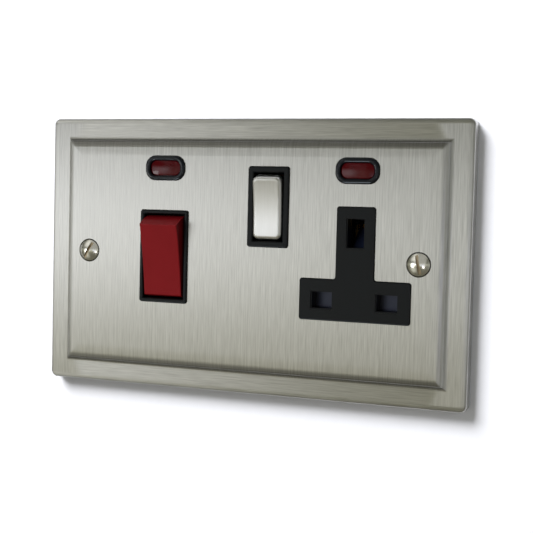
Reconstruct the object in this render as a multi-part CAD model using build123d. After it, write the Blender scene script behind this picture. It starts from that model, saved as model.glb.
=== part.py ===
from build123d import *
import math
import os

# Cooker control unit: a double-pole cooker switch and a switched three-pin socket behind one stepped
# metal plate. +X is right, +Z is up, the front faces -Y and the wall is the plane Y = 0. Millimetres.

# Face plate
PLATE_WIDTH = 153.5
PLATE_HEIGHT = 93.5
PLATE_CORNER = 2.2
PLATE_SHEET = 1.5
EDGE_ROLL = 1.8
EDGE_DROP = 0.13
EDGE_RADIUS = 0.6
BORDER_WIDTH = 6.5
BORDER_RISE = 4.7
STEP_WIDTH = 3.5
STEP_RISE = 1.9
CROWN_REACH = 3.2
CROWN_DROP = 0.036
SHOULDER_WIDTH = 1.5
SHOULDER_DROP = 0.23

# Places on the plate: across from the fixing screws, down from the panel's edge, and from its middle line
SCREW_INSET = 6.45
COOKER_INSET = 29.8
SOCKET_INSET = 21.2
SWITCH_OFFSET = 30.9
SWITCH_DROP = 19.65
LAMP_DROP = 7.15
COOKER_Z = -1.0
PIN_LINE_Z = -13.0
PIN_PITCH = 22.23

# Fixing screws, raised countersunk
SCREW_RADIUS = 1.75
SCREW_HEAD_RADIUS = 3.7
SCREW_DOME = 1.15
SCREW_LENGTH = 25.0
SCREW_SLOT = 0.75
SCREW_SLOT_DEPTH = 1.0
SCREW_TURNS = (60.0, 102.0)
COUNTERSINK_RIM = 0.4

# Front moulding
BACKING = 2.0
BACKING_CORNER = 1.0
SURROUND_WALL = 1.4
SURROUND_PROUD = 0.7
SURROUND_CORNER = 0.9
SURROUND_EDGE = 0.45
SURROUND_REAR = 3.4
SURROUND_LIP = 1.2
COOKER_SURROUND = (18.3, 32.1)
COOKER_RING = 1.4
SWITCH_SURROUND = (14.7, 27.0)
SWITCH_RING = 2.0
RING_BEVEL = 0.35
INSERT_STEM = 13.2
INSERT_ARM = 38.0
INSERT_ARM_HEIGHT = 13.7
INSERT_HEIGHT = 37.6
INSERT_DROP = 6.7
INSERT_CORNER = 0.9
INSERT_PROUD = 0.5
INSERT_EDGE = 0.35
PLINTH = 1.0
LIVE_SLOT = (7.0, 5.4)
EARTH_SLOT = (5.7, 9.4)
SLOT_LEAD = 0.35

# Rockers, struck about a pivot pin behind the panel
PIVOT_DEPTH = 3.9
PIVOT_RADIUS = 1.5
PIVOT_GRIP = 1.0
COOKER_TILT = 10.5
COOKER_FACE = 6.9
COOKER_HALF_LENGTH = 12.4
COOKER_HALF_WIDTH = 7.15
COOKER_SCOOP = 0.5
SWITCH_TILT = 4.0
SWITCH_FACE = 6.1
SWITCH_HALF_LENGTH = 10.0
SWITCH_HALF_WIDTH = 5.1
SWITCH_SCOOP = 0.5
ROCKER_BACK = 1.2
ROCKER_WALL = 1.8
ROCKER_EDGE = 0.4
CAP_SHEET = 0.8
CAP_SKIRT = 2.6
CAP_EDGE = 1.1
CAP_CORNER = 1.9
POLE_OFFSET = 3.6
LEG_RADIUS = 2.4
LEG_REACH = 6.5
PLUNGER_RADIUS = 1.7
PLUNGER_REACH = 10.0
PLUNGER_LENGTH = 7.0
SPRING_SEAT = -2.0
SPRING_WIRE = 0.5
SPRING_TURNS = 3

# Rocking contacts
SEESAW_TILT = {"cooker": 6.0, "socket": 4.0}
SEESAW_HALF_LENGTH = 11.3
SEESAW_WIDTH = 4.6
SEESAW_SHEET = 1.2
CONTACT_ARM = 9.4
BUTTON_RADIUS = 1.6
BUTTON = 0.8
KNIFE = 1.5

# Lamp windows
BEZEL = (15.0, 8.5)
BEZEL_PROUD = 0.9
BEZEL_FLANGE = 0.9
BEZEL_SEAT = 1.2
BEZEL_CORNER = 3.6
BEZEL_EDGE = 0.8
BEZEL_LIP = 0.65
LENS = (11.4, 5.1)
LENS_CORNER = 2.2
LENS_CROWN = 0.55
LENS_STEP = 0.5
LENS_LIP = 0.9
LENS_PROUD = 0.4
LENS_EDGE = 0.35
LAMP_RADIUS = 2.1
LAMP_LENGTH = 12.0
LAMP_NOSE = 0.9
LAMP_LEAD = 0.35
SADDLE = 1.6

# Shutter
SHUTTER_SHEET = 2.2
SHUTTER_COVER = 0.5
SHUTTER_TRAVEL = 6.2
SHUTTER_STEM = 5.0
RAMP_DEPTH = 6.3
RAMP_WIDTH = 4.6
GUIDE = 1.6
SHUTTER_COIL = 1.6
SPIGOT = 0.9

# Rear housing and its terminals
HOUSING_SIDE_GAP = 4.3
HOUSING_END_GAP = 2.75
HOUSING_DEPTH = 19.0
HOUSING_WALL = 1.5
HOUSING_CORNER = 4.0
HOUSING_EDGE = 1.2
POST_RADIUS = 2.75
POST_REAR = 13.0
CASE_SCREW_RADIUS = 1.5
CASE_SCREW_GRIP = 9.0
CASE_HEAD_RADIUS = 2.9
CASE_HEAD = 2.0
CASE_SEAT = 2.5
TERMINAL_OFFSET = 8.0
TERMINAL = (9.5, 11.0, 10.0)
TERMINAL_SINK = 2.0
TERMINAL_SET_IN = 1.2
WELL_WALL = 1.5
WIRE_RADIUS = 2.6
WIRE_DEPTH = 8.5
WIRE_INSET = 3.7
CLAMP_RADIUS = 2.0
CLAMP_HEAD_RADIUS = 2.9
CLAMP_HEAD = 1.6
STRIP_WIDTH = 4.0
STRIP = 1.2
LINK = 1.0
LINK_DROP = 6.0
LIVE_OFFSET = 8.8

# Pin clips
CLIP_WIDTH = 5.4
CLIP_SHEET = 0.8
CLIP_THROAT = 3.8
CLIP_OPEN = 6.2
CLIP_MOUTH = 2.8
EARTH_MOUTH = 5.2
CLIP_FLARE = 2.4

# Clearances
FIT = 0.1
RUN = 0.05
SLIDE = 0.2
TOUCH = 0.1
LOOSE = 0.3

# Worked-out places
PANEL_RISE = BORDER_RISE + STEP_RISE
PANEL_WIDTH = PLATE_WIDTH - 2 * (BORDER_WIDTH + STEP_WIDTH)
PANEL_HEIGHT = PLATE_HEIGHT - 2 * (BORDER_WIDTH + STEP_WIDTH)
SCREW_PITCH = PANEL_WIDTH - 2 * SCREW_INSET
COOKER_X = COOKER_INSET - SCREW_PITCH / 2
SOCKET_X = SCREW_PITCH / 2 - SOCKET_INSET
SWITCH_X = SOCKET_X - SWITCH_OFFSET
SWITCH_Z = PANEL_HEIGHT / 2 - SWITCH_DROP
LAMP_Z = PANEL_HEIGHT / 2 - LAMP_DROP
HOUSING_WIDTH = SCREW_PITCH - 2 * HOUSING_SIDE_GAP
HOUSING_HEIGHT = PANEL_HEIGHT - 2 * HOUSING_END_GAP
BACKING_FRONT = PLATE_SHEET - PANEL_RISE
BACKING_REAR = BACKING_FRONT + BACKING
PIVOT_Y = PIVOT_DEPTH - PANEL_RISE
SEESAW_Y = PIVOT_Y + PLUNGER_REACH + LOOSE + SEESAW_SHEET
EARTH_Z = PIN_LINE_Z + PIN_PITCH
LINE_X = SOCKET_X + PIN_PITCH / 2
NEUTRAL_X = SOCKET_X - PIN_PITCH / 2
PLINTH_REAR = BACKING_REAR + PLINTH
SHUTTER_FRONT = PLINTH_REAR + SLIDE
SHUTTER_REAR = SHUTTER_FRONT + SHUTTER_SHEET
INNER_REAR = HOUSING_DEPTH - HOUSING_WALL
INNER_HALF_WIDTH = HOUSING_WIDTH / 2 - HOUSING_WALL
INNER_HALF_HEIGHT = HOUSING_HEIGHT / 2 - HOUSING_WALL
POST_X = INNER_HALF_WIDTH - POST_RADIUS - LOOSE
POST_Z = INNER_HALF_HEIGHT - POST_RADIUS - LOOSE
LIVE_COLUMN = SWITCH_X + LIVE_OFFSET
LIVE_ROW = POST_RADIUS + LOOSE + STRIP_WIDTH / 2 - POST_Z
LINK_ROW = PIN_LINE_Z - LINK_DROP
TERMINAL_REAR = HOUSING_DEPTH - TERMINAL_SINK
TERMINAL_FLOOR = TERMINAL_REAR - TERMINAL[1]
WIRE_Y = TERMINAL_FLOOR + WIRE_INSET
LAMP_Y = BACKING_REAR + SLIDE + LAMP_RADIUS
POLES = {"line": 1, "neutral": -1}
SWITCHES = (
    (COOKER_X, COOKER_Z, COOKER_SURROUND, COOKER_RING),
    (SWITCH_X, SWITCH_Z, SWITCH_SURROUND, SWITCH_RING),
)


def slab(sketch, front, back):
    """A front-view sketch made solid between two depths."""
    return extrude(Plane.XZ.offset(-back) * sketch, amount=back - front)


def rod(radius, x, z, front, back):
    """A round bar along Y."""
    return slab(Pos(x, z) * Circle(radius), front, back)


def front_edges(solid):
    """The edges that lie in the frontmost plane of a solid."""
    return solid.edges().group_by(Axis.Y)[0]


def mouth_edges(solid):
    """The edges of the opening in the frontmost face of a solid."""
    return solid.faces().sort_by(Axis.Y)[0].inner_wires()[0].edges()


def rear_edges(solid):
    """The edges that lie in the rearmost plane of a solid."""
    return solid.edges().group_by(Axis.Y)[-1]


def grown(size, margin):
    """A width and height with a margin added all round."""
    return size[0] + 2 * margin, size[1] + 2 * margin


def oval(size, corner, margin=0):
    """A window outline with well rounded corners and a margin all round."""
    return RectangleRounded(*grown(size, margin), corner + margin)


def insert_outline():
    """The inverted T of the socket insert, from its pin line."""
    stem = INSERT_STEM / 2
    arm = INSERT_ARM / 2
    bottom = -INSERT_DROP
    shoulder = bottom + INSERT_ARM_HEIGHT
    top = bottom + INSERT_HEIGHT
    right = [(stem, top), (stem, shoulder), (arm, shoulder), (arm, bottom)]
    left = [(-x, z) for x, z in reversed(right)]
    outline = make_face(Polyline(*right, *left, close=True))
    return fillet(outline.vertices(), INSERT_CORNER)


def pin_slots(margin):
    """The three pin openings of the socket."""
    width, height = grown(LIVE_SLOT, margin)
    live = [Pos(x, PIN_LINE_Z) * Rectangle(width, height) for x in (NEUTRAL_X, LINE_X)]
    width, height = grown(EARTH_SLOT, margin)
    return live[0] + live[1] + Pos(SOCKET_X, EARTH_Z) * Rectangle(width, height)


def step_profile(span):
    """Half the section of the raised panel: a flat, a faint crown, a shoulder, a steep fall and a cove."""
    side = span / 2
    brow = (side - CROWN_REACH, -PANEL_RISE)
    edge = (side, CROWN_DROP - PANEL_RISE)
    shoulder = (side + SHOULDER_WIDTH, edge[1] + SHOULDER_DROP)
    foot = (side + STEP_WIDTH, -BORDER_RISE)
    crown = TangentArc(brow, edge, tangent=(1, 0))
    bend = TangentArc(edge, shoulder, tangent=crown % 1)
    fall, cove = fall_and_cove(shoulder, foot, bend % 1)
    base = Polyline(foot, (0, -BORDER_RISE), (0, -PANEL_RISE), brow)
    return make_face([*crown.edges(), *bend.edges(), *fall.edges(), *cove.edges(), *base.edges()])


def fall_and_cove(shoulder, foot, lead):
    """Two arcs that meet smoothly: one carries on from the shoulder, the other ends flat at the foot."""
    width = foot[0] - shoulder[0]
    drop = foot[1] - shoulder[1]
    ease = math.atan2(lead.Y, lead.X) / 4
    lean = math.atan2(drop, width)
    upper = math.tan(lean + ease)
    lower = math.tan(lean - ease)
    run = (drop - width * lower) / (upper - lower)
    turn = (shoulder[0] + run, shoulder[1] + run * upper)
    return TangentArc(shoulder, turn, tangent=lead), TangentArc(foot, turn, tangent=(-1, 0))


def ridge(span, length):
    """The raised panel's section carried straight along a length."""
    half = extrude(step_profile(span), amount=length / 2, both=True)
    return half + mirror(half, about=Plane.YZ)


def raised_panel():
    """The panel as pressed from the sheet: two ridges crossed, so that its corners are mitred."""
    across = ridge(PANEL_WIDTH, PLATE_HEIGHT)
    along = Rot(0, 90, 0) * ridge(PANEL_HEIGHT, PLATE_WIDTH)
    return across & along


def rolled_edge():
    """The rim of the plate: its front leans back a little before the edge turns over."""
    side = PLATE_WIDTH / 2
    end = PLATE_HEIGHT / 2
    start = (side - EDGE_ROLL, -BORDER_RISE)
    lip = (side - EDGE_RADIUS, EDGE_DROP - BORDER_RISE)
    roll = TangentArc(start, lip, tangent=(1, 0))
    nose = TangentArc(lip, (side, lip[1] + EDGE_RADIUS), tangent=roll % 1)
    base = Polyline(nose @ 1, (side, 0), (start[0], 0), start)
    section = make_face([*roll.edges(), *nose.edges(), *base.edges()])
    route = FilletPolyline((side, 0), (side, end), (-side, end), (-side, 0), radius=PLATE_CORNER)
    upper = sweep(Plane.XY * section, path=Plane.XZ * route)
    return upper + mirror(upper, about=Plane.XY)


def face_plate():
    """Stepped sheet-metal plate, hollow behind, with its openings."""
    flat = grown((PLATE_WIDTH, PLATE_HEIGHT), -EDGE_ROLL)
    border = slab(RectangleRounded(*flat, PLATE_CORNER - EDGE_ROLL), -BORDER_RISE, 0)
    plate = border + rolled_edge() + raised_panel()
    hollow = grown((PLATE_WIDTH, PLATE_HEIGHT), -PLATE_SHEET)
    plate -= slab(Rectangle(*hollow), PLATE_SHEET - BORDER_RISE, 0)
    recess = grown((PANEL_WIDTH, PANEL_HEIGHT), PLATE_SHEET / 2)
    plate -= slab(Rectangle(*recess), BACKING_FRONT, 0)
    openings = Pos(SOCKET_X, PIN_LINE_Z) * offset(insert_outline(), amount=FIT)
    for x, z, size, _ in SWITCHES:
        openings += Pos(x, z) * RectangleRounded(*grown(size, FIT), SURROUND_CORNER)
    for x in (COOKER_X, SOCKET_X):
        openings += Pos(x, LAMP_Z) * oval(BEZEL, BEZEL_CORNER, FIT)
    plate -= slab(openings, -PANEL_RISE, 0)
    rim = SCREW_HEAD_RADIUS + COUNTERSINK_RIM
    sink = Pos(0, BACKING_FRONT, 0) * Rot(90, 0, 0) * Cone(
        rim - PLATE_SHEET, rim, PLATE_SHEET, align=(Align.CENTER, Align.CENTER, Align.MIN)
    )
    for side in (-1, 1):
        plate -= Pos(side * SCREW_PITCH / 2, 0, 0) * sink
    return plate


def fixing_screw(x, turn):
    """Raised countersunk machine screw with a slotted dome."""
    waist = SCREW_HEAD_RADIUS - SCREW_RADIUS
    shank = SCREW_LENGTH - waist
    crown = ThreePointArc(
        (0, -SCREW_DOME),
        (SCREW_HEAD_RADIUS * 0.55, -SCREW_DOME * 0.7),
        (SCREW_HEAD_RADIUS, 0),
    )
    body = Polyline(
        (SCREW_HEAD_RADIUS, 0),
        (SCREW_RADIUS, waist),
        (SCREW_RADIUS, waist + shank),
        (0, waist + shank),
        (0, -SCREW_DOME),
    )
    screw = revolve(make_face([*crown.edges(), *body.edges()]), axis=Axis.Y)
    groove = Box(2 * SCREW_HEAD_RADIUS, SCREW_SLOT_DEPTH, SCREW_SLOT)
    groove = Pos(0, SCREW_SLOT_DEPTH / 2 - SCREW_DOME, 0) * Rot(0, -turn, 0) * groove
    return Pos(x, -PANEL_RISE, 0) * (screw - groove)


def surround(x, z, size, ring):
    """Tunnel that frames a rocker, open right through, with a bevelled ring proud of the panel."""
    front = -PANEL_RISE - SURROUND_PROUD
    rear = PIVOT_Y + SURROUND_REAR
    tunnel = slab(RectangleRounded(*size, SURROUND_CORNER), front, rear)
    tunnel = fillet(front_edges(tunnel), SURROUND_EDGE)
    tunnel -= slab(Rectangle(*grown(size, -ring)), front, rear)
    tunnel = chamfer(mouth_edges(tunnel), RING_BEVEL)
    tunnel -= slab(Rectangle(*grown(size, -SURROUND_WALL)), front + SURROUND_LIP, rear)
    return Pos(x, 0, z) * tunnel


def pivot_bore(x, z, size):
    """Hole through both side walls of a surround for the rocker's pivot pins."""
    section = Plane.YZ * Pos(PIVOT_Y, z) * Circle(PIVOT_RADIUS + RUN)
    return Pos(x, 0, 0) * extrude(section, amount=size[0] / 2, both=True)


def lamp_saddles(x):
    """Two notched ribs that cradle a lamp."""
    ribs = []
    for side in (-1, 1):
        rib = Pos(side * LAMP_LENGTH / 4, 0) * Rectangle(SADDLE, 2 * LAMP_RADIUS)
        ribs.append(slab(Pos(x, LAMP_Z) * rib, BACKING_REAR, LAMP_Y))
    bed = extrude(
        Plane.YZ * Pos(LAMP_Y, LAMP_Z) * Circle(LAMP_RADIUS + RUN), amount=PLATE_WIDTH, both=True
    )
    return ribs[0] + ribs[1] - bed


def shutter_guides():
    """Hooked rails on both sides of the shutter stem, and the shelf under its spring."""
    inner = SHUTTER_STEM / 2 + SLIDE
    bottom = PIN_LINE_Z + LIVE_SLOT[1] / 2 + SHUTTER_COVER + GUIDE
    height = ramp_heel() - SHUTTER_TRAVEL - LOOSE - bottom
    middle = bottom + height / 2
    rails = []
    for side in (-1, 1):
        wall = Pos(SOCKET_X + side * (inner + GUIDE / 2), middle) * Rectangle(GUIDE, height)
        hook = Pos(SOCKET_X + side * inner, middle) * Rectangle(2 * GUIDE, height)
        rails.append(slab(wall, PLINTH_REAR, SHUTTER_REAR + SLIDE))
        rails.append(slab(hook, SHUTTER_REAR + SLIDE, SHUTTER_REAR + SLIDE + GUIDE))
    shelf = Pos(SOCKET_X, spring_floor() - GUIDE / 2) * Rectangle(4 * SHUTTER_COIL, GUIDE)
    shelf = slab(shelf, BACKING_REAR, shutter_coil_y() + 2 * SHUTTER_COIL)
    return [*rails, shelf]


def shutter_coil_y():
    """Depth of the shutter spring's axis, clear of the backing's plinth."""
    return PLINTH_REAR + SHUTTER_COIL + SPRING_WIRE + SLIDE


def spring_floor():
    """Height of the shelf that carries the shutter spring."""
    return POST_RADIUS - INNER_HALF_HEIGHT


def ramp_heel():
    """Height of the underside of the shutter's ramp at rest."""
    return EARTH_Z - EARTH_SLOT[1] / 2 - SHUTTER_SHEET


def shutter_foot():
    """Height of the shutter's lower edge at rest."""
    return PIN_LINE_Z - LIVE_SLOT[1] / 2 - SHUTTER_COVER


def front_moulding():
    """One black moulding: backing plate, rocker surrounds, socket insert, guides and posts."""
    outline = grown((PANEL_WIDTH, PANEL_HEIGHT), PLATE_SHEET / 2 - LOOSE)
    moulding = slab(RectangleRounded(*outline, BACKING_CORNER), BACKING_FRONT, BACKING_REAR)
    insert = slab(insert_outline(), -PANEL_RISE - INSERT_PROUD, BACKING_FRONT)
    insert = fillet(front_edges(insert), INSERT_EDGE)
    moulding += Pos(SOCKET_X, 0, PIN_LINE_Z) * insert
    plinth_width = 2 * (PIN_PITCH / 2 + LIVE_SLOT[0] / 2 + SHUTTER_COVER)
    plinth_bottom = PIN_LINE_Z - INSERT_DROP
    plinth_top = EARTH_Z + EARTH_SLOT[1] / 2 + GUIDE
    plinth = Pos(SOCKET_X, (plinth_bottom + plinth_top) / 2) * Rectangle(
        plinth_width, plinth_top - plinth_bottom
    )
    moulding += slab(plinth, BACKING_REAR, PLINTH_REAR)
    insert_front = -PANEL_RISE - INSERT_PROUD
    moulding -= slab(pin_slots(0), insert_front, PLINTH_REAR)
    lead = slab(pin_slots(SLOT_LEAD), insert_front, insert_front + SLOT_LEAD)
    moulding -= lead
    for piece in shutter_guides():
        moulding += piece
    for x, z, size, ring in SWITCHES:
        moulding -= slab(Pos(x, z) * Rectangle(*grown(size, -SURROUND_WALL)), BACKING_FRONT, BACKING_REAR)
        moulding += surround(x, z, size, ring)
        moulding -= pivot_bore(x, z, size)
    for x in (COOKER_X, SOCKET_X):
        seat = Pos(x, LAMP_Z) * oval(BEZEL, BEZEL_CORNER, BEZEL_FLANGE + FIT)
        moulding -= slab(seat, BACKING_FRONT, BACKING_FRONT + BEZEL_SEAT)
        window = Pos(x, LAMP_Z) * oval(LENS, LENS_CORNER, -LENS_STEP)
        moulding -= slab(window, BACKING_FRONT, BACKING_REAR)
        moulding += lamp_saddles(x)
    for side in (-1, 1):
        hole = rod(SCREW_HEAD_RADIUS, side * SCREW_PITCH / 2, 0, BACKING_FRONT, BACKING_REAR)
        moulding -= hole
        for height in (-1, 1):
            x = side * POST_X
            z = height * POST_Z
            moulding += rod(POST_RADIUS, x, z, BACKING_REAR, POST_REAR)
            moulding -= rod(CASE_SCREW_RADIUS + RUN, x, z, POST_REAR - CASE_SCREW_GRIP - LOOSE, POST_REAR)
    return moulding


def rocker_form(half_length, face, scoop, half_width, back):
    """Solid rocker about its pivot: scooped face, ends struck round the pivot so that the gap stays even."""
    end = math.hypot(half_length, face)
    tail = math.sqrt(end**2 - back**2)
    outline = [
        ThreePointArc((-face, half_length), (scoop - face, 0), (-face, -half_length)),
        ThreePointArc((-face, -half_length), (0, -end), (back, -tail)),
        Line((back, -tail), (back, tail)),
        ThreePointArc((back, tail), (0, end), (-face, half_length)),
    ]
    return extrude(Plane.YZ * make_face(outline), amount=half_width, both=True)


def soft_face(form, radius):
    """A rocker form with its finger face rounded off all round."""
    return fillet(form.faces().sort_by(Axis.Y)[0].outer_wire().edges(), radius)


def rocker_body(half_length, face, scoop, half_width, tunnel_width, legs):
    """Moulded rocker: a shell with spring legs inside and a stub pivot pin on each side."""
    body = soft_face(rocker_form(half_length, face, scoop, half_width, ROCKER_BACK), ROCKER_EDGE)
    body -= rocker_form(
        half_length - ROCKER_WALL, face - ROCKER_WALL, scoop, half_width - ROCKER_WALL, ROCKER_BACK
    )
    for x in legs:
        body += rod(LEG_RADIUS, x, 0, ROCKER_WALL - face, LEG_REACH)
    for x in legs:
        body -= rod(PLUNGER_RADIUS + RUN, x, 0, SPRING_SEAT, LEG_REACH)
    pin_end = tunnel_width / 2 - SURROUND_WALL + PIVOT_GRIP
    for side in (-1, 1):
        start = half_width - ROCKER_WALL / 2
        pin = extrude(Plane.YZ * Circle(PIVOT_RADIUS), amount=pin_end - start)
        pin = Pos(start, 0, 0) * pin
        body += pin if side > 0 else mirror(pin, about=Plane.YZ)
    return body


def placed(solid, x, z, tilt):
    """Puts a piece that was made about its pivot into its surround, tipped top outwards."""
    return Pos(x, PIVOT_Y, z) * Rot(tilt, 0, 0) * solid


def cooker_rocker():
    """Red rocker of the cooker switch, with two legs, one for each pole."""
    legs = (-POLE_OFFSET, POLE_OFFSET)
    rocker = rocker_body(
        COOKER_HALF_LENGTH, COOKER_FACE, COOKER_SCOOP, COOKER_HALF_WIDTH, COOKER_SURROUND[0], legs
    )
    return placed(rocker, COOKER_X, COOKER_Z, COOKER_TILT)


def socket_rocker():
    """Black rocker of the socket switch, which carries the metal cap."""
    inset = CAP_SHEET + RUN
    rocker = rocker_body(
        SWITCH_HALF_LENGTH - inset,
        SWITCH_FACE - inset,
        SWITCH_SCOOP,
        SWITCH_HALF_WIDTH - inset,
        SWITCH_SURROUND[0],
        (0,),
    )
    return placed(rocker, SWITCH_X, SWITCH_Z, SWITCH_TILT)


def socket_rocker_cap():
    """Pressed metal cap with soft edges, wrapped over the socket rocker."""
    cap = rocker_form(SWITCH_HALF_LENGTH, SWITCH_FACE, SWITCH_SCOOP, SWITCH_HALF_WIDTH, ROCKER_BACK)
    corners = [edge for edge in cap.edges().filter_by(GeomType.CIRCLE) if abs(edge.center().Z) > CAP_CORNER]
    cap = soft_face(fillet(corners, CAP_CORNER), CAP_EDGE)
    cap -= rocker_form(
        SWITCH_HALF_LENGTH - CAP_SHEET,
        SWITCH_FACE - CAP_SHEET,
        SWITCH_SCOOP,
        SWITCH_HALF_WIDTH - CAP_SHEET,
        ROCKER_BACK,
    )
    reach = 2 * SWITCH_HALF_LENGTH
    cap -= slab(Rectangle(2 * reach, 2 * reach), CAP_SKIRT - SWITCH_FACE, reach)
    return placed(cap, SWITCH_X, SWITCH_Z, SWITCH_TILT)


def plunger(x):
    """Round-nosed peg that slides in a rocker leg."""
    nose = PLUNGER_REACH - PLUNGER_RADIUS
    peg = rod(PLUNGER_RADIUS, x, 0, PLUNGER_REACH - PLUNGER_LENGTH, nose)
    return peg + Pos(x, nose, 0) * Sphere(PLUNGER_RADIUS)


def coil(radius, length, turns):
    """Open coil spring of square wire along +Z, standing on the origin."""
    rise = length - SPRING_WIRE
    helix = Helix(pitch=rise / turns, height=rise, radius=radius)
    section = (helix ^ 0) * Rectangle(SPRING_WIRE, SPRING_WIRE)
    return Pos(0, 0, SPRING_WIRE / 2) * sweep(section, path=helix, is_frenet=True)


def plunger_spring(x):
    """Coil spring between a rocker leg and its peg."""
    length = PLUNGER_REACH - PLUNGER_LENGTH - SPRING_SEAT
    spring = coil(PLUNGER_RADIUS - SPRING_WIRE, length - 2 * RUN, SPRING_TURNS)
    return Pos(x, SPRING_SEAT + RUN, 0) * Rot(-90, 0, 0) * spring


def seesaw(tilt):
    """Rocking contact bar on its knife edge, with a contact button behind its upper arm."""
    bar = Pos(-SEESAW_SHEET / 2, 0) * RectangleRounded(SEESAW_SHEET, 2 * SEESAW_HALF_LENGTH, SEESAW_SHEET / 3)
    bar = extrude(Plane.YZ * bar, amount=SEESAW_WIDTH / 2, both=True)
    return Rot(-tilt, 0, 0) * (bar + rod(BUTTON_RADIUS, 0, CONTACT_ARM, 0, BUTTON))


def contact_reach(tilt):
    """How far behind the knife edge the fixed contact's face lies when the bar rests on it."""
    lean = math.radians(tilt)
    button = BUTTON * math.cos(lean)
    return (CONTACT_ARM + BUTTON_RADIUS) * math.sin(lean) + button + TOUCH


def strip_front(pole):
    """Depth of the front of the contact strips of one switch."""
    return SEESAW_Y + contact_reach(SEESAW_TILT[pole]) + BUTTON


def strip(points, width, front, back):
    """Flat strip with round ends and corners through a few points."""
    pieces = []
    for start, stop in zip(points, points[1:]):
        middle = ((start[0] + stop[0]) / 2, (start[1] + stop[1]) / 2)
        pieces.append(slab(SlotCenterPoint(middle, stop, width), front, back))
    return pieces


def knife_edge(x, z, rear):
    """Upright ridge that a rocking contact turns on."""
    ridge = Polyline(
        (SEESAW_Y + TOUCH, z),
        (SEESAW_Y + TOUCH + KNIFE, z + KNIFE / 2),
        (rear, z + KNIFE / 2),
        (rear, z - KNIFE / 2),
        (SEESAW_Y + TOUCH + KNIFE, z - KNIFE / 2),
        close=True,
    )
    ridge = extrude(Plane.YZ * make_face(ridge), amount=SEESAW_WIDTH / 2, both=True)
    return Pos(x, 0, 0) * ridge


def terminal_z(side):
    """Height of a terminal block's middle, at the top or bottom edge of the housing."""
    return side * (HOUSING_HEIGHT / 2 - TERMINAL_SET_IN - TERMINAL[2] / 2)


def terminal_block(x, side, strips):
    """Brass pillar terminal on its strips: a blind wire bore from the edge, a tapped hole from behind."""
    z = terminal_z(side)
    block = slab(Pos(x, z) * Rectangle(TERMINAL[0], TERMINAL[2]), TERMINAL_FLOOR, TERMINAL_REAR)
    block = joined(chamfer(rear_edges(block), CLIP_SHEET), strips)
    mouth = z + side * TERMINAL[2] / 2
    bore = extrude(Plane.XY.offset(mouth) * Pos(x, WIRE_Y) * Circle(WIRE_RADIUS), amount=-side * WIRE_DEPTH)
    return block - bore - rod(CLAMP_RADIUS + RUN, x, clamp_z(side), WIRE_Y, INNER_REAR)


def clamp_z(side):
    """Height of a clamp screw, over the middle of the wire bore."""
    return terminal_z(side) + side * (TERMINAL[2] - WIRE_DEPTH) / 2


def clamp_screw(x, side):
    """Slotted cheese-head screw, backed off clear of the wire bore."""
    z = clamp_z(side)
    head_rear = TERMINAL_REAR + LOOSE + CLAMP_HEAD
    screw = rod(CLAMP_RADIUS, x, z, WIRE_Y + WIRE_RADIUS + LOOSE, TERMINAL_REAR + LOOSE)
    screw += rod(CLAMP_HEAD_RADIUS, x, z, TERMINAL_REAR + LOOSE, head_rear)
    groove = Pos(x, z) * Rectangle(2 * CLAMP_HEAD_RADIUS, SCREW_SLOT)
    return screw - slab(groove, head_rear - CLAMP_HEAD / 2, head_rear)


def joined(first, pieces):
    """One solid from a piece and others that meet it."""
    for piece in pieces:
        first += piece
    return first


def load_terminal(pole):
    """Outgoing cooker terminal with the fixed contact of its pole."""
    x = COOKER_X + POLES[pole] * TERMINAL_OFFSET
    contact = (COOKER_X + POLES[pole] * POLE_OFFSET, COOKER_Z + CONTACT_ARM)
    front = strip_front("cooker")
    route = [(x, terminal_z(1)), (x, contact[1]), contact]
    terminal = terminal_block(x, 1, strip(route, STRIP_WIDTH, front, front + STRIP))
    return terminal + rod(BUTTON_RADIUS, *contact, front - BUTTON, front)


def feed_terminal(pole):
    """Incoming supply terminal with the knife edge of its pole."""
    x = COOKER_X + POLES[pole] * TERMINAL_OFFSET
    pivot = (COOKER_X + POLES[pole] * POLE_OFFSET, COOKER_Z)
    front = strip_front("cooker")
    route = [(x, terminal_z(-1)), (x, pivot[1]), pivot]
    terminal = terminal_block(x, -1, strip(route, STRIP_WIDTH, front, front + STRIP))
    return terminal + knife_edge(*pivot, front)


def line_link():
    """Strap from the incoming line to the knife edge of the socket switch."""
    front = strip_front("cooker") + STRIP
    start = COOKER_X + TERMINAL_OFFSET
    route = [(start, LINK_ROW), (SWITCH_X, LINK_ROW), (SWITCH_X, SWITCH_Z)]
    pieces = strip(route, STRIP_WIDTH, front, front + LINK)
    return joined(knife_edge(SWITCH_X, SWITCH_Z, front), pieces)


def neutral_link():
    """Strap on the housing's back wall from the incoming neutral to the neutral clip."""
    start = COOKER_X - TERMINAL_OFFSET
    front = INNER_REAR - LINK
    strap = strip([(start, PIN_LINE_Z), (NEUTRAL_X, PIN_LINE_Z)], STRIP_WIDTH, front, INNER_REAR)
    spacer = rod(STRIP_WIDTH / 2, start, PIN_LINE_Z, strip_front("cooker") + STRIP, front)
    return joined(spacer, strap)


def clip(mouth, base, width):
    """Spring clip of folded brass: two leaves that close on a pin, flared at the mouth."""
    half_open = CLIP_OPEN / 2
    half_throat = CLIP_THROAT / 2
    throat = mouth + CLIP_FLARE
    heel = base - STRIP - CLIP_FLARE
    inner = [(mouth, half_open), (throat, half_throat), (heel, half_open), (base - STRIP, half_open)]
    outer = [(y, z + CLIP_SHEET) for y, z in reversed(inner)]
    leaf = extrude(Plane.YZ * make_face(Polyline(*inner, *outer, close=True)), amount=width / 2, both=True)
    foot = 2 * (half_open + CLIP_SHEET)
    heel_plate = slab(Rectangle(width, foot), base - STRIP, base)
    return leaf + mirror(leaf, about=Plane.XY) + heel_plate


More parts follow.
